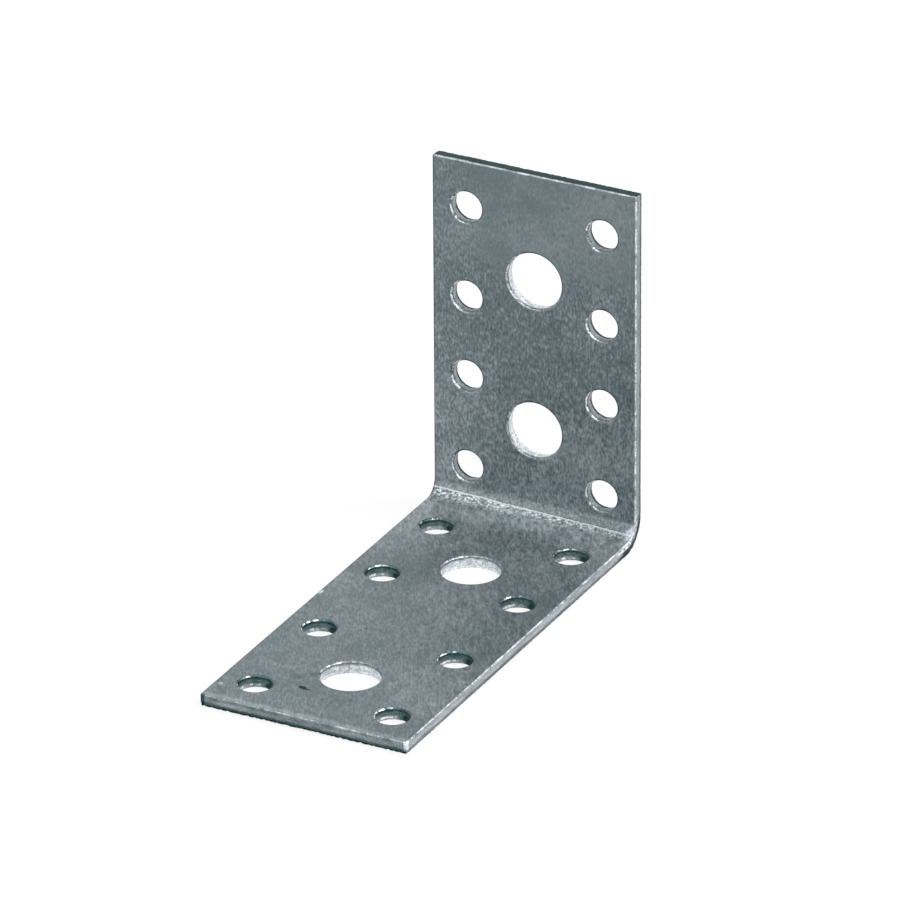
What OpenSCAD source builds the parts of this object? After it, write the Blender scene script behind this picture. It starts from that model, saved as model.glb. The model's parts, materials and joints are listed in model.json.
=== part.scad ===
// Angle bracket for joining timber: a strip of zinc-coated steel sheet, punched flat with nail
// and bolt holes and then folded once to a right angle.
//
// Millimetres. X runs across the strip. The foot leg lies along -Y from the fold and the wall leg
// stands up +Z behind it. The origin is on the face that the bracket stands on, under the middle
// of its outline. Holes and sheared edges are rolled on the inner faces, where the punch went in,
// and break out a little on the outer faces.

/* [Strip] */
// Width of the strip
strip_w = 34; // [29:0.5:60]
// Thickness of the sheet
sheet_t = 2; // [1.5:0.1:3]
// Radius of the rolled rim that shearing leaves along the inner face
edge_roll_r = 0.25; // [0.1:0.05:0.6]
// How far a sheared edge falls back where it broke, at the outer face
edge_break_w = 0.1; // [0.02:0.01:0.2]
// How far the broken part of a sheared edge reaches up from the outer face
edge_break_h = 0.8; // [0.2:0.05:0.8]

/* [Legs] */
// Length of the foot leg, from the back face of the wall leg to its end
foot_len = 76; // [60:0.5:140]
// Height of the wall leg, from the underside of the foot leg to its top
wall_len = 58; // [48:0.5:140]
// Radius inside the fold
fold_r = 2.5; // [1:0.1:5]

/* [Holes] */
// Diameter of a nail or screw hole
nail_hole_d = 5; // [4:0.1:6]
// Distance of a nail hole's axis from the nearest long edge
nail_hole_inset = 5.7; // [4.5:0.1:7.5]
// Diameter of a bolt hole
bolt_hole_d = 9; // [6:0.1:11]
// Radius of a hole's rolled rim on the inner face
hole_roll_r = 0.35; // [0.1:0.05:0.6]
// How much a hole widens in radius where it broke out, at the outer face
hole_break_w = 0.12; // [0.02:0.01:0.25]
// How far a hole's broken part reaches up from the outer face
hole_break_h = 0.7; // [0.2:0.05:0.8]

/* [Foot leg holes] */
// Flat left between the fold and the rim of the first nail holes
foot_first_gap = 4.85; // [0.1:0.05:6]
// Second nail row, from the middle of the leg's flat towards the fold
foot_nail_row_2 = 10.65; // [4:0.05:12]
// Third nail row, from the middle of the leg's flat towards its end
foot_nail_row_3 = 9.35; // [4:0.05:12]
// Fourth nail row, from the end of the leg
foot_nail_row_4 = 6.5; // [4.5:0.1:9]
// Inner bolt hole, from the end of the fold
foot_bolt_hole_1 = 18.3; // [10:0.1:20]
// Outer bolt hole, from the end of the leg
foot_bolt_hole_2 = 14.9; // [10:0.1:20]

/* [Wall leg holes] */
// Flat left between the fold and the rim of the first nail holes
wall_first_gap = 0.1; // [0.1:0.05:4]
// Second nail row, from the middle of the leg's flat towards the fold
wall_nail_row_2 = 8.75; // [4:0.05:9]
// Third nail row, from the middle of the leg's flat towards its end
wall_nail_row_3 = 4.45; // [4:0.05:7]
// Fourth nail row, from the end of the leg
wall_nail_row_4 = 7.6; // [4.5:0.1:9]
// Lower bolt hole, from the end of the fold
wall_bolt_hole_1 = 11.4; // [8:0.1:13]
// Upper bolt hole, from the end of the leg
wall_bolt_hole_2 = 17.4; // [10:0.1:18]

/* [Hidden] */
$fn = 64;
// How far a cutter stands out of the face that it starts from
overcut = 1;
// Outer radius of the fold, which is also the length that it takes from each leg
fold_outer_r = fold_r + sheet_t;
// Straight lengths beyond the fold
foot_flat = foot_len - fold_outer_r;
wall_flat = wall_len - fold_outer_r;
// The back face of the wall leg
back_y = foot_len / 2;
// The axis of each column of nail holes, and the radius of a nail hole with its rim
nail_column_x = strip_w / 2 - nail_hole_inset;
nail_rim_r = nail_hole_d / 2 + hole_roll_r;
// Rows measured along each straight leg from the end of the fold
foot_nail_rows = [foot_first_gap + nail_rim_r, foot_flat / 2 - foot_nail_row_2,
                  foot_flat / 2 + foot_nail_row_3, foot_flat - foot_nail_row_4];
foot_bolt_rows = [foot_bolt_hole_1, foot_flat - foot_bolt_hole_2];
wall_nail_rows = [wall_first_gap + nail_rim_r, wall_flat / 2 - wall_nail_row_2,
                  wall_flat / 2 + wall_nail_row_3, wall_flat - wall_nail_row_4];
wall_bolt_rows = [wall_bolt_hole_1, wall_flat - wall_bolt_hole_2];

// What shearing takes off a square edge. The edge's face is at x = 0 and the waste lies beyond it,
// with the sheet's outer face at y = 0 and its inner face, where the edge is rolled, at sheet_t.
module shear_waste(roll_r, break_w, break_h) {
    difference() {
        translate([-roll_r, sheet_t - roll_r]) square(roll_r + overcut);
        translate([-roll_r, sheet_t - roll_r]) circle(roll_r);
    }
    polygon([[0, break_h], [-break_w, 0], [-break_w, -overcut], [overcut, -overcut], [overcut, break_h]]);
}

// Cross-section of the strip
module strip_section() {
    difference() {
        translate([-strip_w / 2, 0]) square([strip_w, sheet_t]);
        for (side = [0, 1])
            mirror([side, 0]) translate([strip_w / 2, 0]) shear_waste(edge_roll_r, edge_break_w, edge_break_h);
    }
}

// Cutter for one punched hole, from the outer face at z = 0 to the inner face at z = sheet_t
module punch(d) {
    rotate_extrude() {
        translate([0, -overcut]) square([d / 2, sheet_t + 2 * overcut]);
        translate([d / 2, 0]) mirror([1, 0]) shear_waste(hole_roll_r, hole_break_w, hole_break_h);
    }
}

// One straight leg standing on the end of the fold: outer face at y = 0, inner face at y = sheet_t
module leg(flat, nail_rows, bolt_rows) {
    difference() {
        linear_extrude(flat) strip_section();
        translate([0, 0, flat]) rotate([0, -90, 0])
            linear_extrude(strip_w + 2 * overcut, center = true)
                shear_waste(edge_roll_r, edge_break_w, edge_break_h);
        for (row = nail_rows, side = [-1, 1])
            translate([side * nail_column_x, 0, row]) rotate([-90, 0, 0]) punch(nail_hole_d);
        for (row = bolt_rows)
            translate([0, 0, row]) rotate([-90, 0, 0]) punch(bolt_hole_d);
    }
}

// A quarter turn of the strip about the fold's axis
module fold() {
    rotate([0, 90, 0]) rotate_extrude(angle = 90) translate([fold_outer_r, 0]) rotate(90) strip_section();
}

// The whole folded strip
module bracket() {
    color([0.47, 0.51, 0.53]) {
        translate([0, back_y - fold_outer_r, 0])
            rotate([90, 0, 0]) leg(foot_flat, foot_nail_rows, foot_bolt_rows);
        translate([0, back_y - fold_outer_r, fold_outer_r]) fold();
        translate([0, back_y, fold_outer_r])
            rotate([0, 0, 180]) leg(wall_flat, wall_nail_rows, wall_bolt_rows);
    }
}

bracket();
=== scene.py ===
# %% [markdown]
# # An angle bracket, punched flat and folded once
#
# The bracket is one strip of zinc-coated steel sheet. A press punches twenty holes in the flat
# strip, cuts it to length, and folds it to a right angle. This lesson dresses its CAD model in the
# same order: draw the flat strip, shear its edges and holes, fold it, then give it its finishes.
# The CAD model gives the outer sizes and every hole, so nothing has to be fitted afterwards.

# %% Load the frame
import json
import math
from collections import namedtuple
from types import SimpleNamespace

import bmesh
import bpy
from mathutils import Matrix, Vector
from mathutils.geometry import delaunay_2d_cdt


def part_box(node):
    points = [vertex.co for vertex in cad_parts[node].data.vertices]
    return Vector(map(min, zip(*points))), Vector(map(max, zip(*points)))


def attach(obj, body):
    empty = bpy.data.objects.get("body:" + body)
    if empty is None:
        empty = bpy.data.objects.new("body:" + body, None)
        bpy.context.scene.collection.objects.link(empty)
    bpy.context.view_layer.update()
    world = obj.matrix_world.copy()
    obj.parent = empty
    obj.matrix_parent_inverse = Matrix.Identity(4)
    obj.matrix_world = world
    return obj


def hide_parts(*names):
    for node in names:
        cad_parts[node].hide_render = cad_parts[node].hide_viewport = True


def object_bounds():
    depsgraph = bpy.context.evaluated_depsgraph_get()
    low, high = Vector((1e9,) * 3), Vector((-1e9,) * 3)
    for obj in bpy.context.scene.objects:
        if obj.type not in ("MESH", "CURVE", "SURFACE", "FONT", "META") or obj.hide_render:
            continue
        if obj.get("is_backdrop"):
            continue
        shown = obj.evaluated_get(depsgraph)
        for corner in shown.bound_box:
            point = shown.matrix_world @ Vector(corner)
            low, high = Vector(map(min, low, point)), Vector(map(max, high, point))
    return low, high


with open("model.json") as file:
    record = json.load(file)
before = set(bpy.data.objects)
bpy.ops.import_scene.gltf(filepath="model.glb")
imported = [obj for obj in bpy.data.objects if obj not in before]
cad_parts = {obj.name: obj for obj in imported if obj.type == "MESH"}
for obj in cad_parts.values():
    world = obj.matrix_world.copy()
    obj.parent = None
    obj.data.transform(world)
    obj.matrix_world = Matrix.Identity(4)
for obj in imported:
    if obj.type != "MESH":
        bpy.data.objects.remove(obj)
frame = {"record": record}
cad_box = [list(corner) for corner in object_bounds()]
print("CAD box in mm:", [[round(value * 1000, 2) for value in corner] for corner in cad_box])

# %% [markdown]
# ## Sizes
#
# The outer sizes come from the bracket's own box. The record says where the holes are, because each
# set of holes is a mount there: a centre, a radius, and the spacing of its pattern. The sheet's
# thickness, the fold and the section of a sheared edge are written once here, in metres.

# %% Read the sizes
MM = 0.001
QUARTER_TURN = math.radians(90)
sheet_t = 2 * MM
fold_r = 2.5 * MM
fold_outer_r = fold_r + sheet_t
corner_r = 0.35 * MM
edge_roll_r = 0.25 * MM
hole_roll_r = 0.35 * MM
edge_break_w, edge_break_h = 0.1 * MM, 0.8 * MM
hole_break_w, hole_break_h = 0.12 * MM, 0.7 * MM

low, high = (Vector(corner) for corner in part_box("bracket"))
strip_w = high.x - low.x
foot_flat = (high.y - low.y) - fold_outer_r
wall_flat = (high.z - low.z) - fold_outer_r
fold_len = QUARTER_TURN * (fold_r + sheet_t / 2)
fold_middle = foot_flat + fold_len / 2
fold_end = foot_flat + fold_len
strip_len = fold_end + wall_flat
print(f"flat strip: {strip_w / MM:.1f} x {strip_len / MM:.1f} x {sheet_t / MM:.1f} mm")


# %% Find the holes on the flat strip
def along_strip(place):
    """How far along the flat strip, from the foot's end, a place on either leg lies."""
    on_wall = place.z > fold_outer_r
    return fold_end + place.z - fold_outer_r if on_wall else place.y - low.y


def hole_centres(mount):
    """The centres of one mount's holes, as (across, along) on the flat strip."""
    place, dims = Vector(mount["pos_m"]), mount["dims"]
    half_x = dims.get("spacing_x_mm", 0) / 2 * MM
    half_y = dims["spacing_y_mm"] / 2 * MM
    columns = (-half_x, half_x) if half_x else (0,)
    return [(x, along_strip(place) + y) for x in columns for y in (-half_y, half_y)]


holes = {}
for mount in frame["record"]["mounts"]:
    if mount["kind"] == "bolt_pattern":
        radius = mount["dims"]["hole_r_mm"] * MM
        holes.setdefault(radius, []).extend(hole_centres(mount))
print("holes by radius in mm:", {round(radius / MM, 2): len(places) for radius, places in holes.items()})

# %% [markdown]
# ## A short way to write nodes
#
# Node trees are long when every socket is linked by hand. One helper adds a node, sets its options,
# and sets or links its inputs in order, so a tree reads like a formula. A few more name the sums
# that come up again and again. The last ones make a Geometry Nodes tree with named inputs, run it
# on a mesh and hand back a plain mesh, because the finished piece carries no live modifiers.


# %% Nodes as a formula
def first_output(value):
    """The socket to link from: a node stands for its first output that is in use."""
    if isinstance(value, bpy.types.Node):
        return next(socket for socket in value.outputs if socket.enabled)
    return value


def add(tree, kind, *values, **options):
    """Adds a node with these options, and sets or links its inputs in order. None leaves one alone."""
    node = tree.nodes.new(kind)
    for name, value in options.items():
        setattr(node, name, value)
    for socket, value in zip([s for s in node.inputs if s.enabled], values):
        if isinstance(value, (bpy.types.Node, bpy.types.NodeSocket)):
            tree.links.new(first_output(value), socket)
        elif value is not None:
            socket.default_value = value
    return node


def maths(tree, operation, *values, clamp=False):
    """One Math node."""
    return add(tree, "ShaderNodeMath", *values, operation=operation, use_clamp=clamp)


def minus(tree, first, second, clamp=False):
    """The first value less the second."""
    return maths(tree, "SUBTRACT", first, second, clamp=clamp)


def times(tree, value, *factors):
    """The value times every factor."""
    for factor in factors:
        value = maths(tree, "MULTIPLY", value, factor)
    return value


def plus(tree, base, value, amount=1):
    """The base plus this amount of the value."""
    return maths(tree, "MULTIPLY_ADD", value, amount, base)


def remap(tree, value, start, end, low_to=0, high_to=1, smooth=False):
    """The value's range from start to end becomes low_to to high_to, and it stops there."""
    kind = "SMOOTHSTEP" if smooth else "LINEAR"
    return add(tree, "ShaderNodeMapRange", value, start, end, low_to, high_to, interpolation_type=kind)


def near(tree, value, centre, inner, outer, inside=1, outside=0, smooth=False):
    """One value within the inner distance of a centre, another beyond the outer distance."""
    away = maths(tree, "ABSOLUTE", minus(tree, value, centre))
    return remap(tree, away, inner, outer, inside, outside, smooth=smooth)


def blend(tree, mask, first, second, kind="FLOAT"):
    """The first value where the mask is 0, and the second where it is 1."""
    return add(tree, "ShaderNodeMix", mask, first, second, data_type=kind)


def scaled(tree, value, mask, factor):
    """The value as it is where the mask is 0, and times the factor where it is 1."""
    return times(tree, value, blend(tree, mask, 1, factor))


# %% Noises with a size in metres
SEED_STEP = Vector((0.37, 0.71, 0.53))


def noise(tree, place, size, detail=2, roughness=0.5, distortion=0, seed=0):
    """Smooth noise with features of about this size in metres. The seed moves it elsewhere."""
    moved = add(tree, "ShaderNodeVectorMath", place, seed * SEED_STEP, operation="ADD")
    return add(tree, "ShaderNodeTexNoise", moved, 1 / size, detail, roughness, None, distortion)


def cells(tree, place, size, **options):
    """The distance to the middle of the nearest cell, for cells of about this size in metres."""
    return add(tree, "ShaderNodeTexVoronoi", place, 1 / size, **options).outputs["Distance"]


def centred(tree, value):
    """A noise about its middle, so that it lightens as often as it darkens."""
    return minus(tree, value, 0.5)


# %% Make and run a tree
def new_tree(name, sizes):
    """An empty Geometry Nodes tree with these named sizes as inputs."""
    tree = bpy.data.node_groups.new(name, "GeometryNodeTree")
    tree.interface.new_socket("Geometry", in_out="INPUT", socket_type="NodeSocketGeometry")
    for label, value in sizes.items():
        kind = "NodeSocketMaterial" if isinstance(value, bpy.types.Material) else "NodeSocketFloat"
        kind = "NodeSocketInt" if isinstance(value, int) else kind
        tree.interface.new_socket(label, in_out="INPUT", socket_type=kind)
    tree.interface.new_socket("Geometry", in_out="OUTPUT", socket_type="NodeSocketGeometry")
    return tree, add(tree, "NodeGroupInput").outputs


def new_object(name, data):
    """An object in the scene with this data."""
    made = bpy.data.objects.new(name, data)
    bpy.context.scene.collection.objects.link(made)
    return made


def run_tree(tree, mesh, sizes):
    """The mesh after the tree, with its inputs set by their identifiers, as a plain mesh."""
    holder = new_object(tree.name, mesh)
    modifier = holder.modifiers.new(tree.name, "NODES")
    modifier.node_group = tree
    for item in tree.interface.items_tree:
        if item.in_out == "INPUT" and item.name in sizes:
            modifier[item.identifier] = sizes[item.name]
    graph = bpy.context.evaluated_depsgraph_get()
    result = bpy.data.meshes.new_from_object(holder.evaluated_get(graph), depsgraph=graph)
    bpy.data.objects.remove(holder)
    return result


def stored(tree, geometry, label, value, kind="FLOAT"):
    """The geometry with a value kept at each point under this name."""
    return add(tree, "GeometryNodeStoreNamedAttribute", geometry, True, label, value, data_type=kind)


# %% [markdown]
# ## The finishes, empty for now
#
# Two materials cover the bracket: the zinc skin of the rolled sheet, and the steel that shearing
# laid bare in the holes and along the edges. The trees below hand them to the faces that they make,
# so they exist before the shapes do. Their nodes come later.

# %% Name the two materials
zinc_skin = bpy.data.materials.new("zinc_skin")
sheared_steel = bpy.data.materials.new("sheared_steel")
print("materials:", zinc_skin.name, "and", sheared_steel.name)

# %% [markdown]
# ## What shearing does to an edge
#
# A punch first draws the sheet down into a rolled rim, then slides past and leaves a smooth upright
# band. At last the steel snaps, which leaves a rough band that leans away and a torn far edge. The
# tear is worst where the strip was cut to length. Every hole and every outer edge has that same
# section, so it could be a profile drawn by hand. A Geometry Nodes tree fits better: it works the
# section out point by point, Curve to Mesh sweeps it along any path, and noise then shakes the rough
# band, so that its teeth are real shape and not only shading.
#
# The tree keeps two facts for the materials. One is the stage: 0 where the rim starts, 1 at its
# foot, 2 where the steel snapped, and 3 at the far face. The other is the way into the material.

# %% The section of a sheared edge
ROLL_STEPS, BORE_STEPS, SNAP_STEPS = 5, 3, 6
SECTION = {"Sheet Thickness": sheet_t, "Roll Radius": 0.0, "Break Width": 0.0, "Break Height": 0.0,
           "Tear Height": 0.0}


def section_curve(tree, sizes):
    """The section as a curve: x is how far it cuts into the material, and -y is the height."""
    index = add(tree, "GeometryNodeInputIndex")
    past_roll = minus(tree, index, ROLL_STEPS)
    past_bore = minus(tree, past_roll, BORE_STEPS)
    rolled = maths(tree, "DIVIDE", index, ROLL_STEPS, clamp=True)
    bored = maths(tree, "DIVIDE", past_roll, BORE_STEPS, clamp=True)
    snapped = maths(tree, "DIVIDE", past_bore, SNAP_STEPS, clamp=True)
    turn = times(tree, rolled, QUARTER_TURN)
    depth = times(tree, minus(tree, 1, maths(tree, "SINE", turn)), sizes["Roll Radius"])
    depth = plus(tree, depth, snapped, sizes["Break Width"])
    bore = minus(tree, sizes["Sheet Thickness"], sizes["Roll Radius"])
    bore = minus(tree, bore, sizes["Break Height"])
    drop = times(tree, minus(tree, 1, maths(tree, "COSINE", turn)), sizes["Roll Radius"])
    drop = plus(tree, drop, bored, bore)
    drop = plus(tree, drop, snapped, sizes["Break Height"])
    down = minus(tree, drop, sizes["Sheet Thickness"])
    line = add(tree, "GeometryNodeMeshLine", ROLL_STEPS + BORE_STEPS + SNAP_STEPS + 1)
    place = add(tree, "ShaderNodeCombineXYZ", depth, down, 0)
    line = add(tree, "GeometryNodeSetPosition", line, True, place)
    stage = plus(tree, plus(tree, rolled, bored), snapped)
    return add(tree, "GeometryNodeMeshToCurve", stored(tree, line, "shear", stage))


# %% Sweep the section along a path
TOOTH, TOOTH_DEPTH = 0.45 * MM, 0.09 * MM
WANDER, WANDER_DEPTH = 3 * MM, 0.1 * MM
TEAR = 0.55 * MM
LONGWAYS_TEAR = 0.4


def swept_wall(tree, path, sizes):
    """Ends a tree with the section swept along closed paths, and shaken by noise at three places."""
    inward = add(tree, "GeometryNodeInputNormal")
    path = stored(tree, path, "inward", inward, kind="FLOAT_VECTOR")
    wall = add(tree, "GeometryNodeCurveToMesh", path, section_curve(tree, sizes))
    place = add(tree, "GeometryNodeInputPosition")
    stage = add(tree, "GeometryNodeInputNamedAttribute", "shear", data_type="FLOAT")
    inward = add(tree, "GeometryNodeInputNamedAttribute", "inward", data_type="FLOAT_VECTOR")
    snapped = minus(tree, stage, 2, clamp=True)
    on_rim = minus(tree, 1, stage, clamp=True)
    teeth = times(tree, noise(tree, place, TOOTH, detail=3, seed=1), TOOTH_DEPTH)
    wander = times(tree, noise(tree, place, WANDER, seed=2), WANDER_DEPTH)
    push = plus(tree, times(tree, teeth, snapped), wander, on_rim)
    shift = add(tree, "ShaderNodeVectorMath", inward, operation="SCALE")
    tree.links.new(first_output(push), shift.inputs["Scale"])

    # the far edge is torn up raggedly, less along the strip than across it
    torn = remap(tree, noise(tree, place, TEAR, detail=2, seed=3), 0.45, 0.7, 0, sizes["Tear Height"])
    crosswise = maths(tree, "ABSOLUTE", add(tree, "ShaderNodeSeparateXYZ", inward).outputs[1])
    torn = times(tree, torn, remap(tree, crosswise, 0, 1, LONGWAYS_TEAR, 1))
    lift = times(tree, torn, maths(tree, "POWER", snapped, 3))
    lift = add(tree, "ShaderNodeCombineXYZ", 0, 0, lift)
    shift = add(tree, "ShaderNodeVectorMath", shift, lift, operation="ADD")
    wall = add(tree, "GeometryNodeSetPosition", wall, True, None, shift)
    wall = add(tree, "GeometryNodeSetMaterial", wall, True, sizes["Material"])
    add(tree, "NodeGroupOutput", wall)


# %% [markdown]
# ## Punched holes
#
# Twenty holes of two sizes repeat along the strip. They could be copies of one modelled hole, but
# then every rough band would be the same. So the instances are of a plain circle: Instance on Points
# sets it on every centre, and the circles are made real before the section is swept along them, so
# that the noise differs from hole to hole.


# %% The tree for punched holes
def hole_tree():
    """A wall round every point, for a circle of the radius and number of segments given."""
    sizes = {**SECTION, "Hole Radius": 0.0, "Segments": 0, "Material": sheared_steel}
    tree, given = new_tree("punched_holes", sizes)
    circle = add(tree, "GeometryNodeCurvePrimitiveCircle", given["Segments"], mode="RADIUS")
    tree.links.new(given["Hole Radius"], circle.inputs["Radius"])
    placed = add(tree, "GeometryNodeInstanceOnPoints", given["Geometry"], True, circle)
    swept_wall(tree, add(tree, "GeometryNodeRealizeInstances", placed), given)
    return tree


def flat_mesh(name, points, edges=(), faces=()):
    """A mesh at z = 0, which is the outer face of the flat strip."""
    mesh = bpy.data.meshes.new(name)
    mesh.from_pydata([(x, y, 0) for x, y in points], edges, faces)
    return mesh


# %% Punch the holes
SEGMENT = 0.17 * MM
walls = []
segments_of = {}
punch = hole_tree()
for radius, places in holes.items():
    segments_of[radius] = 4 * round(math.tau * radius / SEGMENT / 4)
    sizes = {**SECTION, "Roll Radius": hole_roll_r, "Break Width": hole_break_w,
             "Break Height": hole_break_h, "Tear Height": 0.06 * MM, "Hole Radius": radius,
             "Segments": segments_of[radius], "Material": sheared_steel}
    wall = run_tree(punch, flat_mesh("hole_centres", places), sizes)
    walls.append((wall, segments_of[radius]))
    print(f"{len(places)} holes of {radius * 2 / MM:.0f} mm: {len(wall.polygons)} faces")

# %% [markdown]
# ## The sheared outline
#
# The outline is a rectangle with barely rounded corners. Fillet Curve could round it, but then the
# long straight sides would have no points for the teeth of the rough band. So a short function
# walks round the outline in small steps, clockwise so that the material lies on the same side as
# for the holes, and the same section is swept along it.


# %% The tree for the outline
def outline_tree():
    """A wall along every closed path of edges."""
    tree, given = new_tree("sheared_outline", {**SECTION, "Material": sheared_steel})
    swept_wall(tree, add(tree, "GeometryNodeMeshToCurve", given["Geometry"]), given)
    return tree


def outline_points(step, corner_steps=6):
    """Points clockwise round the strip from its near left corner, closer together round its corners."""
    corners = []
    for number, (side, end) in enumerate(((-1, 0), (-1, 1), (1, 1), (1, 0))):
        x = side * (strip_w / 2 - corner_r)
        y = strip_len - corner_r if end else corner_r
        for i in range(corner_steps + 1):
            angle = math.radians(270 - 90 * number - 90 * i / corner_steps)
            corners.append(Vector((x + corner_r * math.cos(angle), y + corner_r * math.sin(angle))))
    path = []
    for here, there in zip(corners, corners[1:] + corners[:1]):
        count = max(1, round((there - here).length / step))
        path += [here.lerp(there, i / count) for i in range(count)]
    return path


# %% Shear the outline
path = outline_points(0.3 * MM)
links = [(i, (i + 1) % len(path)) for i in range(len(path))]
loop = flat_mesh("outline", path, links)
sizes = {**SECTION, "Roll Radius": edge_roll_r, "Break Width": edge_break_w,
         "Break Height": edge_break_h, "Tear Height": 0.22 * MM, "Material": sheared_steel}
walls.append((run_tree(outline_tree(), loop, sizes), len(path)))
print(f"outline of {len(path)} points: {len(walls[-1][0].polygons)} faces")

# %% [markdown]
# ## The flat faces
#
# Between the holes and the outline both faces of the strip are plain, but they still need points:
# the fold will bend them and press a line into one of them, and a nick dents that face here. A
# boolean would leave long slivers there. Instead the faces are triangulated like a map: the ends of
# the walls are lines that no triangle may cross, rings of points sit round each hole, and a grid
# fills the rest, with its rows close together where the sheet will bend.
#
# One small nick in the foot leg shows in the photograph, so a fine patch of points is kept for it.
# It narrows along its axis, like the mark of a dropped corner.

# %% Where the nick and the press line are
NICK = Vector((-4.2 * MM, 8.4 * MM))
NICK_AXIS = Vector((0.96, -0.28))
NICK_LONG, NICK_SHORT, NICK_DEPTH = 1.0 * MM, 0.36 * MM, 0.16 * MM
NICK_TAPER = 0.55
MARK_AT = foot_flat + 0.53 * fold_len
MARK_SKEW = 0.036


def nick_reach(x, y):
    """How far a point is from the nick's middle: 1 at its rim."""
    offset = Vector((x, y)) - NICK
    ahead = offset.dot(NICK_AXIS) / NICK_LONG
    width = NICK_SHORT * (1 - NICK_TAPER * max(-1, min(1, ahead)))
    return math.hypot(ahead, offset.dot(NICK_AXIS.orthogonal()) / width)


def nick_dip(x, y):
    """How deep the nick is here, with the little lip that it raised round itself."""
    reach = nick_reach(x, y)
    lip = 0.2 * math.exp(-((reach - 1.25) / 0.3) ** 2)
    return NICK_DEPTH * (max(0, 1 - reach ** 2) - lip)


print(f"the press line lies {MARK_AT / MM:.2f} mm from the foot's end")

# %% Points that carry the faces
MARGIN = 0.65 * MM
GRID, BEND_GRID, FINE_GRID = 1 * MM, 0.2 * MM, 0.1 * MM
MARK_REACH = 0.9 * MM
HOLE_CLEARANCE = 1.1 * MM
HOLE_RINGS = ((0.6 * MM, 1), (0.85 * MM, 2))
PATCH_LONG, PATCH_HIGH = 2.4 * MM, 1.6 * MM
all_holes = [(Vector(place), radius) for radius, places in holes.items() for place in places]


def steps(start, end, size):
    """Evenly spaced values from start to end, about this far apart."""
    count = max(1, round((end - start) / size))
    return [start + (end - start) * i / count for i in range(count + 1)]


def grid_points():
    """A grid over the strip, clear of the holes and the nick, and finer at the bend."""
    rows = steps(MARGIN, foot_flat, GRID)
    rows += steps(foot_flat, fold_end, BEND_GRID)[1:]
    rows += steps(fold_end, strip_len - MARGIN, GRID)[1:]
    rows += steps(MARK_AT - MARK_REACH, MARK_AT + MARK_REACH, FINE_GRID)
    points = []
    for y in sorted(rows):
        for x in steps(MARGIN - strip_w / 2, strip_w / 2 - MARGIN, GRID):
            here = Vector((x, y))
            clear = all((here - place).length > radius + HOLE_CLEARANCE for place, radius in all_holes)
            if clear and nick_reach(x, y) > 2.6:
                points.append((x, y))
    return points


def ring_points():
    """Two rings round each hole, the outer one with half as many points."""
    points = []
    for place, radius in all_holes:
        for out, share in HOLE_RINGS:
            count = segments_of[radius] // share
            for i in range(count):
                angle = math.tau * (i + 0.5) / count
                away = Vector((math.cos(angle), math.sin(angle))) * (radius + out)
                points.append(tuple(place + away))
    return points


def nick_points():
    """A fine grid over the nick and its lip."""
    rows = steps(NICK.y - PATCH_HIGH, NICK.y + PATCH_HIGH, FINE_GRID)
    columns = steps(NICK.x - PATCH_LONG, NICK.x + PATCH_LONG, FINE_GRID)
    return [(x, y) for y in rows for x in columns if nick_reach(x, y) < 2.4]


carriers = grid_points() + ring_points() + nick_points()
print(len(carriers), "points carry each face")


# %% Triangulate both faces
def wall_rings(wall, ring_size, stage):
    """The points at one stage of a wall's section, in order round each hole or round the outline."""
    marks = wall.attributes["shear"].data
    places = [v.co.copy() for v in wall.vertices if abs(marks[v.index].value - stage) < 0.01]
    return [places[i:i + ring_size] for i in range(0, len(places), ring_size)]


def face_sheet(name, stage, height):
    """One face of the strip: a triangulation of what lies inside the outline and outside the holes."""
    rings = [ring for wall, ring_size in walls for ring in wall_rings(wall, ring_size, stage)]
    places, areas = [], []
    for ring in rings:
        areas.append(list(range(len(places), len(places) + len(ring))))
        places += ring
    areas[-1].reverse()
    heights = [place.z for place in places] + [height] * len(carriers)
    flat = [place.xy / MM for place in places] + [Vector(point) / MM for point in carriers]
    found = delaunay_2d_cdt(flat, [], areas, 1, 1e-6)
    points, triangles, sources, areas_of = found[0], found[2], found[3], found[5]
    corners = []
    for point, source in zip(points, sources):
        x, y = point * MM
        dip = nick_dip(x, y) if stage == 0 else 0
        corners.append((x, y, min(heights[source[0]] - dip, sheet_t)))
    only_outline = [len(rings) - 1]
    kept = [face for face, inside in zip(triangles, areas_of) if list(inside) == only_outline]
    mesh = bpy.data.meshes.new(name)
    mesh.from_pydata(corners, [], kept)
    return mesh


sheets = [face_sheet("inner_face", 0, sheet_t), face_sheet("outer_face", 3, 0)]
print("triangles in the two faces:", [len(sheet.polygons) for sheet in sheets])


# %% Join faces and walls into one closed strip
def joined(name, skins, cuts):
    """One closed mesh: skins get the first material and cuts the second."""
    both = bmesh.new()
    for number, parts in enumerate((skins, cuts)):
        for part in parts:
            before = len(both.faces)
            both.from_mesh(part)
            both.faces.ensure_lookup_table()
            for face in both.faces[before:]:
                face.material_index = number
    bmesh.ops.remove_doubles(both, verts=both.verts, dist=0.001 * MM)
    bmesh.ops.recalc_face_normals(both, faces=both.faces)
    open_edges = sum(not edge.is_manifold for edge in both.edges)
    volume = both.calc_volume() / MM ** 3
    print(f"{name}: {len(both.faces)} faces, {open_edges} open edges, {volume:.1f} mm3")
    mesh = bpy.data.meshes.new(name)
    both.to_mesh(mesh)
    both.free()
    mesh.materials.append(zinc_skin)
    mesh.materials.append(sheared_steel)
    return mesh


strip = joined("flat_strip", sheets, [wall for wall, _ in walls])

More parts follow.
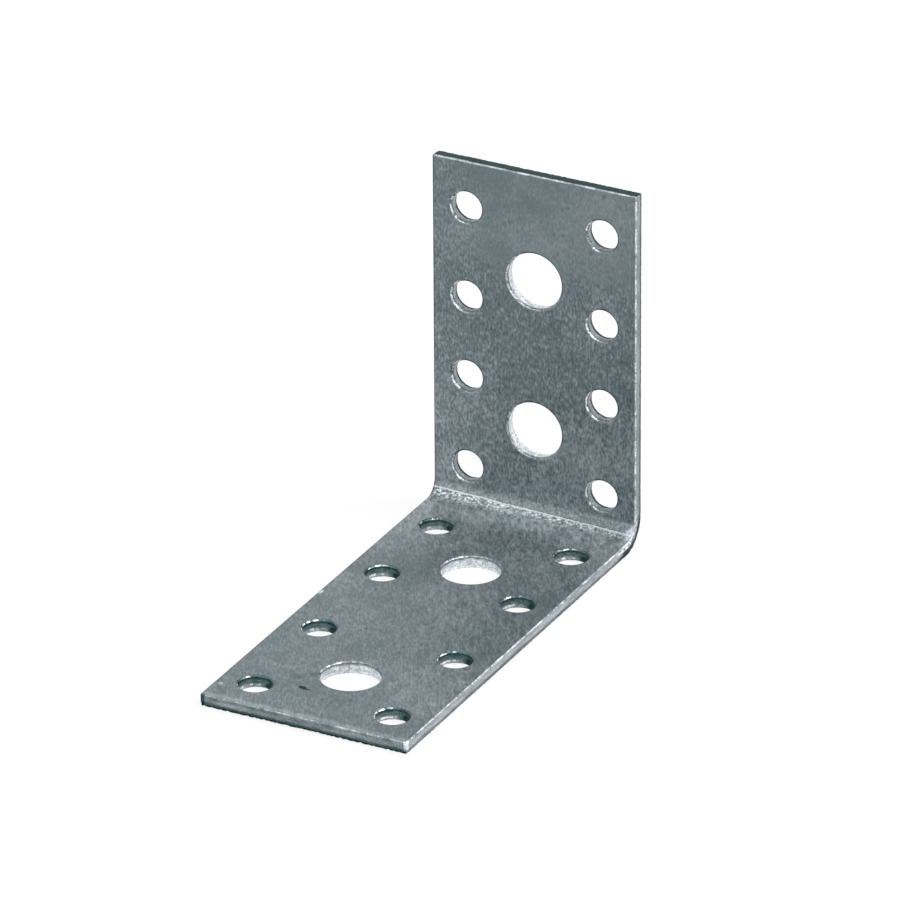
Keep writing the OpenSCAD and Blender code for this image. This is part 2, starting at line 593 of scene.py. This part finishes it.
# %% [markdown]
# ## The fold
#
# A real press pushes a rounded bar into the flat strip until it stands square. Bending the strip by
# hand would mean a table of points. The fold is one rule instead: up to the fold a point keeps its
# place, inside the fold it turns about the fold's axis at its own distance, and past the fold it
# goes straight up. Set Position applies that rule to the walls of the holes and the edges as well,
# so all of them follow the bend.
#
# Three small things come with a real fold. The outer face draws in a little across the bend, the bar
# leaves a fine line where its nose ended, and no pressed sheet stays perfectly flat. And every point
# remembers its place on the flat strip in an attribute, because the grain of the zinc goes round
# the fold with the sheet.

# %% The tree for the fold
FOLD = {"Sheet Thickness": sheet_t, "Fold Start": foot_flat, "Fold Length": fold_len,
        "Outer Radius": fold_outer_r, "Foot End": low.y, "Draw In": 0.004,
        "Mark At": MARK_AT, "Mark Depth": 0.05 * MM, "Waviness": 0.035 * MM}


def pressed(tree, given, place, share):
    """The height of a point after the sheet has waved and the bar has left its line."""
    across, along, up = add(tree, "ShaderNodeSeparateXYZ", place).outputs
    wave = times(tree, noise(tree, place, 14 * MM, detail=1, seed=4), given["Waviness"])
    up = plus(tree, up, minus(tree, 1, times(tree, share, 2)), wave)
    ragged = times(tree, noise(tree, place, 2.5 * MM, seed=5), 0.12 * MM)
    mark_at = plus(tree, minus(tree, given["Mark At"], times(tree, across, MARK_SKEW)), ragged)
    mark = near(tree, along, mark_at, 0.04 * MM, 0.26 * MM, smooth=True)
    return minus(tree, up, times(tree, mark, given["Mark Depth"], share))


def bent(tree, given, along, up):
    """Where a point is along Y and up Z once it has followed the rule of the fold, and its turn."""
    past = minus(tree, along, given["Fold Start"])
    turned = maths(tree, "DIVIDE", past, given["Fold Length"], clamp=True)
    angle = times(tree, turned, QUARTER_TURN)
    radius = minus(tree, given["Outer Radius"], up)
    foot_part = maths(tree, "MINIMUM", along, given["Fold Start"])
    back = plus(tree, foot_part, given["Foot End"])
    back = plus(tree, back, radius, maths(tree, "SINE", angle))
    rise = maths(tree, "MAXIMUM", minus(tree, past, given["Fold Length"]), 0)
    rise = plus(tree, rise, given["Outer Radius"])
    rise = minus(tree, rise, times(tree, radius, maths(tree, "COSINE", angle)))
    return back, rise, turned


def fold_tree():
    """Bends a flat strip, which lies with its outer face at z = 0, to a right angle."""
    tree, given = new_tree("fold", FOLD)
    place = add(tree, "GeometryNodeInputPosition")
    kept = stored(tree, given["Geometry"], "flat", place, kind="FLOAT_VECTOR")
    across, along, up = add(tree, "ShaderNodeSeparateXYZ", place).outputs
    share = maths(tree, "DIVIDE", up, given["Sheet Thickness"])
    back, rise, turned = bent(tree, given, along, pressed(tree, given, place, share))

    # the outer face draws in across the middle of the bend
    mid_bend = maths(tree, "SINE", times(tree, turned, math.pi))
    outer = minus(tree, 1, share, clamp=True)
    across = times(tree, across, minus(tree, 1, times(tree, mid_bend, outer, given["Draw In"])))
    folded = add(tree, "ShaderNodeCombineXYZ", across, back, rise)
    add(tree, "NodeGroupOutput", add(tree, "GeometryNodeSetPosition", kept, True, folded))
    return tree


# %% Fold the strip
SMOOTH_UP_TO = math.radians(38)
mesh = run_tree(fold_tree(), strip, FOLD)
mesh.name = "angle_bracket"
mesh.shade_smooth()
mesh.set_sharp_from_angle(angle=SMOOTH_UP_TO)
bracket = new_object("angle_bracket", mesh)
triangles = sum(len(face.vertices) - 2 for face in mesh.polygons)
print(f"folded bracket: {triangles} triangles, materials {[m.name for m in mesh.materials]}")

# %% Let it stand for the CAD node
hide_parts("bracket")
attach(bracket, "root")
print(bracket.name, "stands for the CAD node bracket")

# %% [markdown]
# ## Zinc skin
#
# Zinc-coated sheet looks grey and calm from a step away, but close up it is never one grey. Rolling
# leaves short dark strokes, which lean across the foot leg here and run straight up the wall leg.
# Handling leaves clouds, pits and scratches, and near the wall's top the coating is smoother. Some
# of the lightness is painted light: the foot is painted lighter round the fold and just before the
# bend, and a few soft patches are painted light too. In the bend the coating is crazed into flecks
# under a painted highlight, and the bar's line is a painted highlight with a dotted dark line below
# it. Each of these is a noise of its own size, read at the place that the fold stored. A
# brushed-metal image would repeat and could not follow the bend.


# %% Nodes that both finishes share
def clear_tree(owner):
    """The empty node tree of a material or a world."""
    owner.use_nodes = True
    owner.node_tree.nodes.clear()
    return owner.node_tree


def attribute(tree, name, output="Vector"):
    """A value that the mesh keeps at each point under this name."""
    return add(tree, "ShaderNodeAttribute", attribute_name=name).outputs[output]


def flat_place(tree):
    """The place on the flat strip, as a vector in metres, and its three parts."""
    vector = attribute(tree, "flat")
    return vector, add(tree, "ShaderNodeSeparateXYZ", vector).outputs


def dress(material, finish, bump_size):
    """One metal shader, with the colour, roughness and height that the finish makes."""
    tree = clear_tree(material)
    colour, roughness, height = finish(tree)
    bump = add(tree, "ShaderNodeBump", None, bump_size, None, height)
    bsdf = add(tree, "ShaderNodeBsdfPrincipled", colour, 1.0, roughness)
    tree.links.new(bump.outputs[0], bsdf.inputs["Normal"])
    add(tree, "ShaderNodeOutputMaterial", bsdf)
    print(f"{material.name}: {len(tree.nodes)} nodes")


# %% The rolled grain
FOOT_STRETCH, FOOT_LEAN = 3, 0.5
WALL_STRETCH = 2.2


def grain_place(tree, across, along, up):
    """The place for strokes that run up the wall leg, and longer ones that lean across the foot leg."""
    past = minus(tree, along, foot_flat)
    on_foot = maths(tree, "MINIMUM", past, 0)
    on_wall = maths(tree, "MAXIMUM", past, 0)
    across = plus(tree, across, on_foot, FOOT_LEAN)
    along = plus(tree, times(tree, on_foot, 1 / FOOT_STRETCH), on_wall, 1 / WALL_STRETCH)
    return add(tree, "ShaderNodeCombineXYZ", across, along, up)


def zinc_facts(tree):
    """The place on the flat strip, and the noises that the marks in the zinc are made of."""
    vector, (across, along, up) = flat_place(tree)
    grain = grain_place(tree, across, along, up)
    return SimpleNamespace(
        vector=vector, across=across, along=along, up=up,
        fine=noise(tree, grain, 0.34 * MM, detail=1, roughness=0.6, seed=11),
        strokes=noise(tree, grain, 0.75 * MM, detail=3, roughness=0.6, seed=12),
        patches=noise(tree, vector, 3.2 * MM, detail=3, roughness=0.6, seed=13),
        clouds=noise(tree, vector, 16 * MM, detail=3, roughness=0.55, distortion=0.4, seed=14),
        scales=noise(tree, vector, 0.42 * MM, detail=2, roughness=0.75, distortion=1.2, seed=15))


def grain_strength(tree, at):
    """1 where the grain is full, and less near the wall's top, most of all on its right."""
    near_top = plus(tree, at.along, centred(tree, at.patches), 9 * MM)
    near_top = remap(tree, near_top, strip_len - 18 * MM, strip_len - 14 * MM, 0, 0.65, smooth=True)
    return minus(tree, 1, times(tree, near_top, remap(tree, at.across, -14 * MM, -8 * MM, 0.3, 1)))


def rolled_tone(tree, at, strength):
    """How much lighter than its middle grey the rolled zinc is, with painted light round the fold."""
    tone = times(tree, centred(tree, at.fine), 0.7)
    tone = plus(tree, tone, centred(tree, at.strokes), 0.5)
    coarser = remap(tree, at.along, foot_flat - 25 * MM, fold_end, 0.48, 0.87)
    tone = times(tree, tone, coarser, strength)
    tone = plus(tree, tone, centred(tree, at.patches), 0.14)
    tone = plus(tree, tone, centred(tree, at.clouds), 0.24)
    # painted light: the zinc is lighter round the fold and at the start of the bend, where the other leg's
    # shade and reflection fall
    tone = plus(tree, tone, near(tree, at.along, fold_middle, 8 * MM, 28 * MM, 0.07, 0, smooth=True))
    return plus(tree, tone, remap(tree, at.along, foot_flat, fold_end, 0.02, 0))


# %% Marks that the bar left, and painted light at the bend
def press_marks_and_painted_light(tree, at, tone):
    """The tone with the bar's marks in it, the crazed band in the bend with a painted highlight over it,
    and the flecks of the band.
    """
    inner = remap(tree, at.up, 0.4 * sheet_t, 0.7 * sheet_t)
    past_mark = plus(tree, minus(tree, at.along, MARK_AT), at.across, MARK_SKEW)
    below_mark = times(tree, remap(tree, past_mark, 0, 0.25 * MM, 1, 0), inner)
    ragged = plus(tree, past_mark, at.scales, 0.45 * MM)
    ragged = plus(tree, ragged, centred(tree, at.patches), 0.9 * MM)
    reach = plus(tree, at.along, centred(tree, at.patches), -7 * MM)

    # painted shade: just above the mark the wall is darker towards its right
    above = minus(tree, inner, below_mark)
    above = times(tree, above, remap(tree, past_mark, 0.2 * MM, 1.8 * MM, 1, 0))
    above = times(tree, above, remap(tree, at.across, -strip_w / 2, strip_w / 2, 0, 0.2))
    tone = minus(tree, tone, above)

    # painted light: the foot is lighter just before the bend
    painted_light = remap(tree, reach, foot_flat - 6.5 * MM, foot_flat - 1 * MM, smooth=True)
    painted_light = times(tree, painted_light, remap(tree, past_mark, -2.2 * MM, -0.1 * MM, 1, 0))
    painted_light = times(tree, painted_light, near(tree, at.across, 1 * MM, 6 * MM, 15 * MM, 1, 0.4), inner)
    tone = plus(tree, tone, painted_light, remap(tree, at.strokes, 0.42, 0.62, 0.12, 0.28))

    # in the bend the coating is crazed into flecks, up to the mark, and the band is a painted highlight
    line = times(tree, near(tree, ragged, 0.22 * MM, 0.06 * MM, 0.24 * MM), inner)
    band = remap(tree, reach, foot_flat - 1 * MM, foot_flat + 2 * MM, smooth=True)
    band = times(tree, band, below_mark)
    flecks = plus(tree, cells(tree, at.vector, 0.52 * MM), centred(tree, at.scales), 1.4)
    flecks = times(tree, remap(tree, flecks, 0.25, 0.7, 1, 0), minus(tree, 1, line))
    tone = plus(tree, tone, band, remap(tree, flecks, 0, 1, -0.13, 0.3))

    # the mark is a painted highlight line, with a dotted dark line below it
    tone = plus(tree, tone, line, remap(tree, at.scales, 0.35, 0.55, 0.36, 0.6))
    dotted = near(tree, ragged, -0.22 * MM, 0.04 * MM, 0.2 * MM)
    dotted = times(tree, dotted, inner, remap(tree, at.scales, 0.4, 0.55))
    tone = plus(tree, tone, dotted, remap(tree, at.across, 0, strip_w / 2, -0.08, -0.3))
    return tone, band, flecks


# %% Pits, single marks and painted light
PIT = 2.6 * MM
Mark = namedtuple("Mark", "x y half_x half_y lighter soft")
# some of the marks are painted light: the bright patch at the right end of the bend is a painted highlight,
# and the soft patches are painted light on the legs and round the fold
MARKS_AND_PAINTED_LIGHT = [Mark(*row) for row in (
    # the middle and the half sizes on the flat strip in mm, how much lighter, and whether it is soft
    (NICK.x / MM - 0.4, NICK.y / MM + 0.1, 0.75, 0.55, -0.42, False),
    (NICK.x / MM + 0.5, NICK.y / MM - 0.1, 0.9, 0.28, -0.3, False),
    (-16.6, 36.8, 0.35, 0.7, 0.65, False),
    (0, 0, 60, 1.35, 0.11, False),
    (16.8, 73.4, 1.2, 3, 0.35, False),
    (-7, 11.3, 1.5, 0.8, -0.1, False),
    (-4.4, 12.9, 1.6, 0.9, -0.1, False),
    (-15.8, 4.3, 0.4, 0.4, 0.25, False),
    (4, 40, 8, 18, 0.07, True),
    (-10, 1, 12, 8, 0.06, True),
    (0, 122, 20, 14, 0.04, True),
    (9, 85, 9, 8, 0.06, True),
    (-13, 79, 6, 5, 0.06, True),
    (-9, 75, 8, 3, 0.08, True),
    (-3, 70.5, 12, 2.5, 0.06, True))]


def marked(tree, at, tone):
    """The tone with pits in some patches, and with the single marks and the painted light of the table."""
    pits = cells(tree, at.vector, PIT, voronoi_dimensions="2D")
    pits = plus(tree, pits, centred(tree, at.scales), 0.3)
    pits = times(tree, remap(tree, pits, 0.05, 0.15, 1, 0), remap(tree, at.patches, 0.48, 0.6))
    tone = plus(tree, tone, pits, -0.13)
    for mark in MARKS_AND_PAINTED_LIGHT:
        centre = (mark.x * MM, mark.y * MM, sheet_t)
        offset = add(tree, "ShaderNodeVectorMath", at.vector, centre, operation="SUBTRACT")
        share = (1 / (mark.half_x * MM), 1 / (mark.half_y * MM), 1 / sheet_t)
        offset = add(tree, "ShaderNodeVectorMath", offset, share, operation="MULTIPLY")
        reach = add(tree, "ShaderNodeVectorMath", offset, operation="LENGTH").outputs["Value"]
        reach = plus(tree, reach, at.patches if mark.soft else at.scales, 0.8)
        start = 0.4 if mark.soft else 0.9
        tone = plus(tree, tone, remap(tree, reach, start, 1.5, mark.lighter, 0, smooth=True))
    return tone


print(len(MARKS_AND_PAINTED_LIGHT), "single marks in the zinc")

# %% The zinc skin
ZINC_RAMP = ((0.1, (0.012, 0.045, 0.046, 1)), (1.0, (0.62, 0.66, 0.70, 1)), (0.5, (0.168, 0.208, 0.223, 1)))


def zinc(tree):
    """Colour, roughness and height of the zinc, from the place on the flat strip."""
    at = zinc_facts(tree)
    strength = grain_strength(tree, at)
    tone, band, flecks = press_marks_and_painted_light(tree, at, rolled_tone(tree, at, strength))
    tone = maths(tree, "ADD", marked(tree, at, tone), 0.5, clamp=True)
    colour = add(tree, "ShaderNodeValToRGB", tone)
    stops = colour.color_ramp.elements
    for number, (position, paint) in enumerate(ZINC_RAMP):
        stop = stops[number] if number < 2 else stops.new(position)
        stop.position, stop.color = position, paint
    roughness = remap(tree, at.strokes, 0.3, 0.7, 0.42, 0.58)
    roughness = blend(tree, band, roughness, remap(tree, flecks, 0, 1, 0.54, 0.42))
    height = times(tree, plus(tree, at.strokes, at.fine, 0.6), strength)
    height = plus(tree, height, times(tree, band, flecks), 1.6)
    return colour, roughness, height


dress(zinc_skin, zinc, bump_size=0.02 * MM)

# %% [markdown]
# ## Sheared steel
#
# A sheared edge shows its history in bands: the rim still wears its zinc, with a painted highlight
# where it faces the light, the upright band is burnished by the punch and streaked, and the snapped
# band is dark and granular. The section's own attribute says how far down a point lies, so the
# bands follow every hole and edge at any size. The cuts differ, so a table gives the levels of each:
# the foot's end is light with a dark line and a dark lower band, and the wall's end is dark with a
# rim painted bright as a painted highlight. Much of the rest is painted light and shade: the right
# edge is painted brighter than the left, the side of a hole that faces right lighter than the other,
# the bolt holes' bores pale as a painted reflection of the white around them, and the glints are
# painted highlights.

# %% How light each kind of cut is
Cut = namedtuple("Cut", "rim bore snap line bore_from snap_from glint")
KINDS = {
    # how light the rim, the burnished band and the snapped band are, and the line under the rim
    # against them, where the burnished and the snapped band begin, and how bright the glints are; the
    # levels carry painted light and shade, such as the pale bolt hole bores as painted reflection, the
    # bright right edge and the dark left edge, and the glints are painted highlights
    "foot nail hole": Cut(0.14, 0.15, 0.32, 0.6, 1.1, 2.0, 0.8),
    "foot bolt hole": Cut(0.26, 0.62, 0.80, 0.60, 1.1, 2.3, 0.4),
    "wall nail hole": Cut(0.25, 0.28, 0.04, 0.8, 1.3, 1.95, 0.9),
    "wall bolt hole": Cut(0.26, 0.72, 0.80, 0.55, 1.1, 2.6, 0.4),
    "foot end": Cut(0.28, 0.185, 0.055, 0.8, 1.6, 1.95, 0.0),
    "wall end": Cut(0.38, 0.04, 0.05, 1.0, 1.1, 2.0, 0.5),
    "left edge": Cut(0.05, 0.16, 0.10, 1.0, 1.1, 2.0, 0.0),
    "right edge": Cut(0.42, 0.35, 0.11, 0.95, 1.1, 2.0, 0.3)}
MIDDLE_REACH = 6.5 * MM
CUT_REACH = 0.9 * MM


def places_of_cut(tree, across, along, inward):
    """1 or 0 for each kind of cut after the first, by its name, in the order of the table."""
    towards_right, towards_wall = inward[0], inward[1]
    middle = maths(tree, "LESS_THAN", maths(tree, "ABSOLUTE", across), MIDDLE_REACH)
    on_wall = maths(tree, "GREATER_THAN", along, foot_flat)
    on = {"foot bolt hole": middle, "wall nail hole": on_wall,
          "wall bolt hole": times(tree, middle, on_wall)}
    sides = {
        "foot end": ("LESS_THAN", along, CUT_REACH, towards_wall, 1),
        "wall end": ("GREATER_THAN", along, strip_len - CUT_REACH, towards_wall, -1),
        "left edge": ("LESS_THAN", across, CUT_REACH - strip_w / 2, towards_right, 1),
        "right edge": ("GREATER_THAN", across, strip_w / 2 - CUT_REACH, towards_right, -1)}
    for kind, (operation, value, limit, way, sign) in sides.items():
        facing_it = remap(tree, times(tree, way, sign), 0.6, 0.8)
        on[kind] = times(tree, maths(tree, operation, value, limit), facing_it)
    return on


def cut_levels(tree, on):
    """The levels of the table, blended into one set by the kind of cut that a point is on."""
    levels = KINDS["foot nail hole"]
    for kind, mask in on.items():
        levels = [blend(tree, mask, before, after) for before, after in zip(levels, KINDS[kind])]
    return Cut(*levels)


print("kinds of cut:", ", ".join(KINDS))


# %% What a point of a cut knows
def cut_facts(tree):
    """The place and the stage of a point, the kind of cut that it is on, and how ragged it is there."""
    vector, (across, along, up) = flat_place(tree)
    stage = attribute(tree, "shear", "Fac")
    inward = add(tree, "ShaderNodeSeparateXYZ", attribute(tree, "inward")).outputs
    on = places_of_cut(tree, across, along, inward)
    outline = on["foot end"]
    for kind in ("wall end", "left edge", "right edge"):
        outline = maths(tree, "MAXIMUM", outline, on[kind])
    in_hole = minus(tree, 1, outline)
    middle, on_wall = on["foot bolt hole"], on["wall nail hole"]
    on_foot = minus(tree, 1, on_wall)
    wander = noise(tree, vector, 9 * MM, detail=1, seed=26)
    uneven = noise(tree, vector, 1.1 * MM, detail=3, roughness=0.6, seed=21)
    ragged = plus(tree, stage, centred(tree, uneven), 0.6)
    return SimpleNamespace(
        vector=vector, across=across, along=along, stage=stage,
        facing=inward[0], towards_wall=inward[1],
        on=on, outline=outline, in_hole=in_hole, on_wall=on_wall, on_foot=on_foot,
        on_nail=minus(tree, in_hole, middle, clamp=True),
        nail_on_foot=times(tree, minus(tree, in_hole, middle), on_foot),
        uneven=uneven, ragged=plus(tree, ragged, centred(tree, wander), 0.35),
        grit=noise(tree, vector, 0.25 * MM, detail=2, roughness=0.7, seed=22))


# %% The bands of a cut
def lit_levels(tree, at, levels):
    """The rim, bore and snap levels, with painted light and shade from side to side of the same cut."""
    rim, bore, snap = levels.rim, levels.bore, levels.snap

    # painted light and shade: a nail hole's wall is lighter where it faces right and darker where it
    # faces left, a wall hole's rim is painted dark on its right and top side, and the foot's outline is
    # painted lighter than the wall's
    snap = scaled(tree, snap, at.on_nail, remap(tree, at.facing, -0.3, 0.25, 1.3, 0.1))
    bore = scaled(tree, bore, at.on_nail, remap(tree, at.facing, -1, 1, 1.2, 0.8))
    away = remap(tree, maths(tree, "ADD", at.facing, at.towards_wall), 0.1, 0.9)
    rim = scaled(tree, rim, times(tree, away, at.in_hole, at.on_wall), 0.2)
    on_foot_outline = times(tree, at.outline, at.on_foot)
    snap = scaled(tree, snap, on_foot_outline, 2)
    bore = scaled(tree, bore, on_foot_outline, 1.3)
    paler_left = remap(tree, at.across, -strip_w / 2, -3 * MM, 1.3, 1)
    bore = scaled(tree, bore, at.on["foot end"], paler_left)

    # the rim of the outline is dashed, and the far edge of the foot's end is dark
    dashes = remap(tree, noise(tree, at.vector, 1.8 * MM, detail=2, seed=27), 0.42, 0.58, 0.75, 1.3)
    rim = scaled(tree, rim, at.outline, dashes)
    far_edge = times(tree, remap(tree, at.ragged, 2.4, 2.75), at.on["foot end"])
    return rim, bore, scaled(tree, snap, far_edge, 0.2)


def banded_tone(tree, at, levels):
    """How light a cut is by its bands, and how far a point is in the snapped one."""
    rim, bore, snap = lit_levels(tree, at, levels)

    # at the bend the right edge gets a black line of painted shade, and its bore is painted bright in
    # flecks as a painted highlight
    at_bend = near(tree, at.along, fold_middle - 1 * MM, 3 * MM, 6 * MM)
    at_bend = times(tree, at_bend, at.on["right edge"])
    torn = times(tree, at_bend, remap(tree, at.ragged, 1.35, 1.65))
    bore = scaled(tree, bore, at_bend, remap(tree, at.uneven, 0.4, 0.5, 0.8, 2.8))

    # the dark snapped band reaches higher on the right side of the foot's nail holes, as painted shade
    lean = times(tree, remap(tree, at.facing, 0, 0.5, 0, 0.7), at.nail_on_foot)
    snap_start = minus(tree, levels.snap_from, 0.15)
    snap_full = maths(tree, "ADD", levels.snap_from, 0.3)
    on_snap = remap(tree, maths(tree, "ADD", at.ragged, lean), snap_start, snap_full)
    on_bore = remap(tree, at.ragged, 0.85, levels.bore_from)
    line_at = plus(tree, 1, at.on["foot end"], 0.2)
    from_line = near(tree, at.ragged, line_at, 0.08, 0.35, levels.line, 1)
    tone = blend(tree, on_snap, blend(tree, on_bore, rim, bore), snap)
    return blend(tree, torn, times(tree, tone, from_line), 0.01), on_snap


# %% Painted corners, grit and painted glints
def grit_and_painted_corners(tree, at, tone):
    """The tone with the foot's two corners painted light and dark, and with the streaks and the grit of the
    steel.
    """
    # a painted highlight whitens the foot's right corner, and painted shade darkens its left corner
    at_end = remap(tree, at.along, 0.5 * MM, 0.9 * MM, 1, 0)
    on_right = remap(tree, at.across, strip_w / 2 - 0.6 * MM, strip_w / 2 - 0.3 * MM)
    on_left = remap(tree, at.across, 0.6 * MM - strip_w / 2, 1 * MM - strip_w / 2, 1, 0)
    tone = plus(tree, tone, times(tree, at_end, on_right), remap(tree, at.ragged, 1.6, 2.6, 0.5, 0))
    tone = scaled(tree, tone, times(tree, at_end, on_left), 0.25)

    # the streaks run down the cut, so the place is drawn out across the two ends and along the sides
    at_ends = maths(tree, "ADD", at.on["foot end"], at.on["wall end"])
    drawn_out = blend(tree, at_ends, (1, 0.2, 1), (0.2, 1, 1), kind="VECTOR")
    edge_place = add(tree, "ShaderNodeVectorMath", at.vector, drawn_out, operation="MULTIPLY")
    streaks = noise(tree, edge_place, 0.6 * MM, detail=3, seed=23)
    clouds = noise(tree, at.vector, 12 * MM, detail=2, seed=24)
    patterns = ((at.grit, 0.32, 0.72, 0.4), (streaks, 0.3, 0.7, 0.3), (clouds, 0.3, 0.7, 0.1))
    for pattern, start, end, change in patterns:
        tone = times(tree, tone, remap(tree, pattern, start, end, 1 - change, 1 + change))
    return tone


def painted_glint_mask(tree, at):
    """Painted highlights on the rim, and on the snapped band of the foot's nail holes, where the steel
    faces right.
    """
    painted_light = noise(tree, at.vector, 1.1 * MM, detail=2, roughness=0.6, seed=25)
    glints = remap(tree, plus(tree, painted_light, at.on_wall, 0.07), 0.5, 0.56)
    glints = times(tree, glints, remap(tree, at.facing, -0.1, -0.7))
    beads = remap(tree, at.grit, 0.42, 0.56, 0.3, 1.3)
    on_rim = near(tree, at.stage, 0.5, 0.15, 0.35)
    on_rim = times(tree, on_rim, blend(tree, at.on_wall, 1, beads))
    on_snap = near(tree, at.stage, 2.3, 0.1, 0.4)
    on_snap = times(tree, on_snap, at.nail_on_foot, beads)
    return times(tree, glints, maths(tree, "MAXIMUM", on_rim, on_snap))


# %% The sheared steel
TEAL, TEAL_IN_NAIL_HOLES = 0.038, 0.05
LEAST_RED, BLUE = 0.2, 1.07


def sheared(tree):
    """Colour, roughness and height of a sheared edge, from the stage along its section."""
    zinc_colour, zinc_roughness, zinc_height = zinc(tree)
    at = cut_facts(tree)
    levels = cut_levels(tree, at.on)
    # the bands carry painted light and shade, and the foot's corners are painted light and dark
    tone, on_snap = banded_tone(tree, at, levels)
    tone = grit_and_painted_corners(tree, at, tone)
    # painted highlights: the glints
    tone = plus(tree, tone, painted_glint_mask(tree, at), levels.glint)

    # bare steel is a little teal, most of all where it is dark
    less_red = minus(tree, tone, blend(tree, at.nail_on_foot, TEAL, TEAL_IN_NAIL_HOLES))
    red = maths(tree, "MAXIMUM", less_red, times(tree, tone, LEAST_RED))
    bare = add(tree, "ShaderNodeCombineColor", red, tone, times(tree, tone, BLUE))

    # the rim starts with the colour of the zinc beside it
    past_face = remap(tree, at.stage, 0, 0.25)
    colour = blend(tree, past_face, zinc_colour, bare, kind="RGBA")
    roughness = blend(tree, past_face, zinc_roughness, 0.42)
    roughness = blend(tree, on_snap, roughness, 0.6)
    below_bore = remap(tree, at.stage, 1.9, 2.2)
    return colour, roughness, blend(tree, below_bore, zinc_height, times(tree, at.grit, 2.5))


dress(sheared_steel, sheared, bump_size=0.03 * MM)

# %% [markdown]
# ## Floor, light and camera
#
# The bracket stands on a plain white floor. Where the camera or a reflection looks at the floor it
# shows mostly plain white, and the rest is real diffuse white, so a soft shadow stays under the
# bracket. The world is white to the eye and to the metal, and dimmer as a light, so the lamps can
# shape the bracket without washing it out.

# %% Floor and world
FLOOR_SIZE, FLOOR_DROP = 12, 0.02 * MM
FLOOR_WHITE, PLAIN_SHARE = 0.92, 0.8
WORLD_AS_LIGHT = 0.7


def seen_directly(tree):
    """1 where the camera, a reflection or a refraction looks, and 0 for light that is gathered."""
    rays = add(tree, "ShaderNodeLightPath").outputs
    either = maths(tree, "MAXIMUM", rays["Is Camera Ray"], rays["Is Glossy Ray"])
    return maths(tree, "MAXIMUM", either, rays["Is Transmission Ray"])


half = FLOOR_SIZE / 2
floor_corners = [(-half, -half), (half, -half), (half, half), (-half, half)]
floor_mesh = flat_mesh("floor", floor_corners, faces=[(0, 1, 2, 3)])
floor = new_object("floor", floor_mesh)
floor.location.z = -FLOOR_DROP
white = bpy.data.materials.new("white_floor")
tree = clear_tree(white)
diffuse = add(tree, "ShaderNodeBsdfDiffuse", (FLOOR_WHITE, FLOOR_WHITE, FLOOR_WHITE, 1))
plain = add(tree, "ShaderNodeEmission", (1, 1, 1, 1), 1.0)
share = times(tree, seen_directly(tree), PLAIN_SHARE)
add(tree, "ShaderNodeOutputMaterial", add(tree, "ShaderNodeMixShader", share, diffuse, plain))
floor_mesh.materials.append(white)
floor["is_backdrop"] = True

world = bpy.data.worlds.new("white_studio")
bpy.context.scene.world = world
tree = clear_tree(world)
level = blend(tree, seen_directly(tree), WORLD_AS_LIGHT, 1.0)
add(tree, "ShaderNodeOutputWorld", add(tree, "ShaderNodeBackground", (1, 1, 1, 1), level))
print("floor and world are white to the camera")


# %% Soft lamps
LAMP_AWAY, LAMP_SIZE = 0.8, 0.5


def direction(azimuth, elevation):
    """The way out from the bracket. Azimuth 0 is in front of it and grows towards its right."""
    level = math.cos(elevation)
    return Vector((math.sin(azimuth) * level, -math.cos(azimuth) * level, math.sin(elevation)))


def lamp(name, azimuth, elevation, power):
    """A square area lamp that looks at the middle of the bracket."""
    data = bpy.data.lights.new(name, "AREA")
    data.size, data.energy = LAMP_SIZE, power
    away = direction(math.radians(azimuth), math.radians(elevation))
    made = new_object(name, data)
    made.location = Vector((0, 0, high.z / 2)) + away * LAMP_AWAY
    made.rotation_mode = "QUATERNION"
    made.rotation_quaternion = away.to_track_quat("Z", "Y")
    print(f"{name} lamp: {power} W from azimuth {azimuth} and elevation {elevation}")


lamp("key", 105, 48, 5)
lamp("fill", -28, 56, 1.5)

# %% The camera
AZIMUTH, ELEVATION, ROLL = (math.radians(value) for value in (27.547, 26.269, -0.342))
LOOK_AT = Vector((-4.218, 16.754, 20.243)) * MM
DISTANCE = 1573.1 * MM
SENSOR_MM, LENS_MM = 36, 424.03
CLIP_NEAR, CLIP_FAR = 0.1, 20
camera_data = bpy.data.cameras.new("camera")
camera_data.sensor_width, camera_data.lens = SENSOR_MM, LENS_MM
camera_data.clip_start, camera_data.clip_end = CLIP_NEAR, CLIP_FAR
camera = new_object("camera", camera_data)
backward = direction(AZIMUTH, ELEVATION)
level_right = Vector((math.cos(AZIMUTH), math.sin(AZIMUTH), 0))
level_up = backward.cross(level_right)
right = level_right * math.cos(ROLL) + level_up * math.sin(ROLL)
up = level_up * math.cos(ROLL) - level_right * math.sin(ROLL)
turn = Matrix((right, up, backward)).transposed()
camera.matrix_world = Matrix.Translation(LOOK_AT + backward * DISTANCE) @ turn.to_4x4()
bpy.context.scene.camera = camera
bpy.context.scene.view_settings.view_transform = "Standard"
print(f"camera: {LENS_MM} mm lens, {DISTANCE:.2f} m away")

# %% Measure the visual box
sizes = {"cad": cad_box, "visual": [list(corner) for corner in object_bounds()]}
print("visual box in mm:", [[round(value / MM, 3) for value in corner] for corner in sizes["visual"]])
